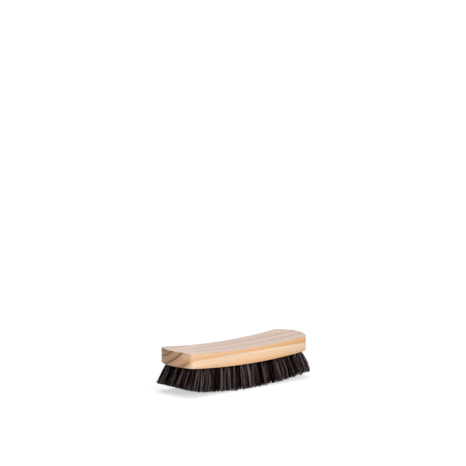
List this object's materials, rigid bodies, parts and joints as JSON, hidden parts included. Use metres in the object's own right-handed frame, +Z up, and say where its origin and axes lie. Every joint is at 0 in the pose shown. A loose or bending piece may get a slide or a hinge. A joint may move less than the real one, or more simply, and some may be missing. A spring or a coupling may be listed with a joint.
{
  "type": "shoe shine brush",
  "caption": "Shoe shine brush: a curved softwood block with bowed ends, filled with fanned tufts of dark horsehair trimmed to a gentle curve, each tuft held by a flat wire anchor.",
  "frame": {"origin": "on the surface the brush stands on, below the middle of the block", "axes": "+X along the block's length, +Y across it towards the back, +Z up, from the bristle tips to the block's back"},
  "size_m": [0.1728, 0.053, 0.0455],
  "materials": {
    "wood_block": "satin",
    "bristle": "satin",
    "anchor_wire": "satin"
  },
  "bodies": {
    "root": {"block": "wood_block", "tuft_row_01": "bristle", "tuft_row_02": "bristle", "tuft_row_03": "bristle", "tuft_row_04": "bristle", "tuft_row_05": "bristle", "tuft_row_06": "bristle", "tuft_row_07": "bristle", "tuft_row_08": "bristle", "tuft_row_09": "bristle", "tuft_row_10": "bristle", "tuft_row_11": "bristle", "tuft_row_12": "bristle", "tuft_row_13": "bristle", "tuft_row_14": "bristle", "tuft_row_15": "bristle", "tuft_row_16": "bristle", "tuft_row_17": "bristle", "tuft_row_18": "bristle", "tuft_row_19": "bristle", "tuft_row_20": "bristle", "tuft_row_21": "bristle", "tuft_row_22": "bristle", "tuft_row_23": "bristle", "tuft_row_24": "bristle", "tuft_row_25": "bristle", "tuft_row_26": "bristle", "tuft_row_27": "bristle", "tuft_row_28": "bristle", "tuft_row_29": "bristle", "tuft_row_30": "bristle", "tuft_row_31": "bristle", "tuft_row_32": "bristle", "tuft_row_33": "bristle", "tuft_row_34": "bristle", "tuft_row_35": "bristle", "anchor_line_1": "anchor_wire", "anchor_line_2": "anchor_wire", "anchor_line_3": "anchor_wire", "anchor_line_4": "anchor_wire", "anchor_line_5": "anchor_wire", "anchor_line_6": "anchor_wire", "anchor_line_7": "anchor_wire"}
  },
  "joints": []
}
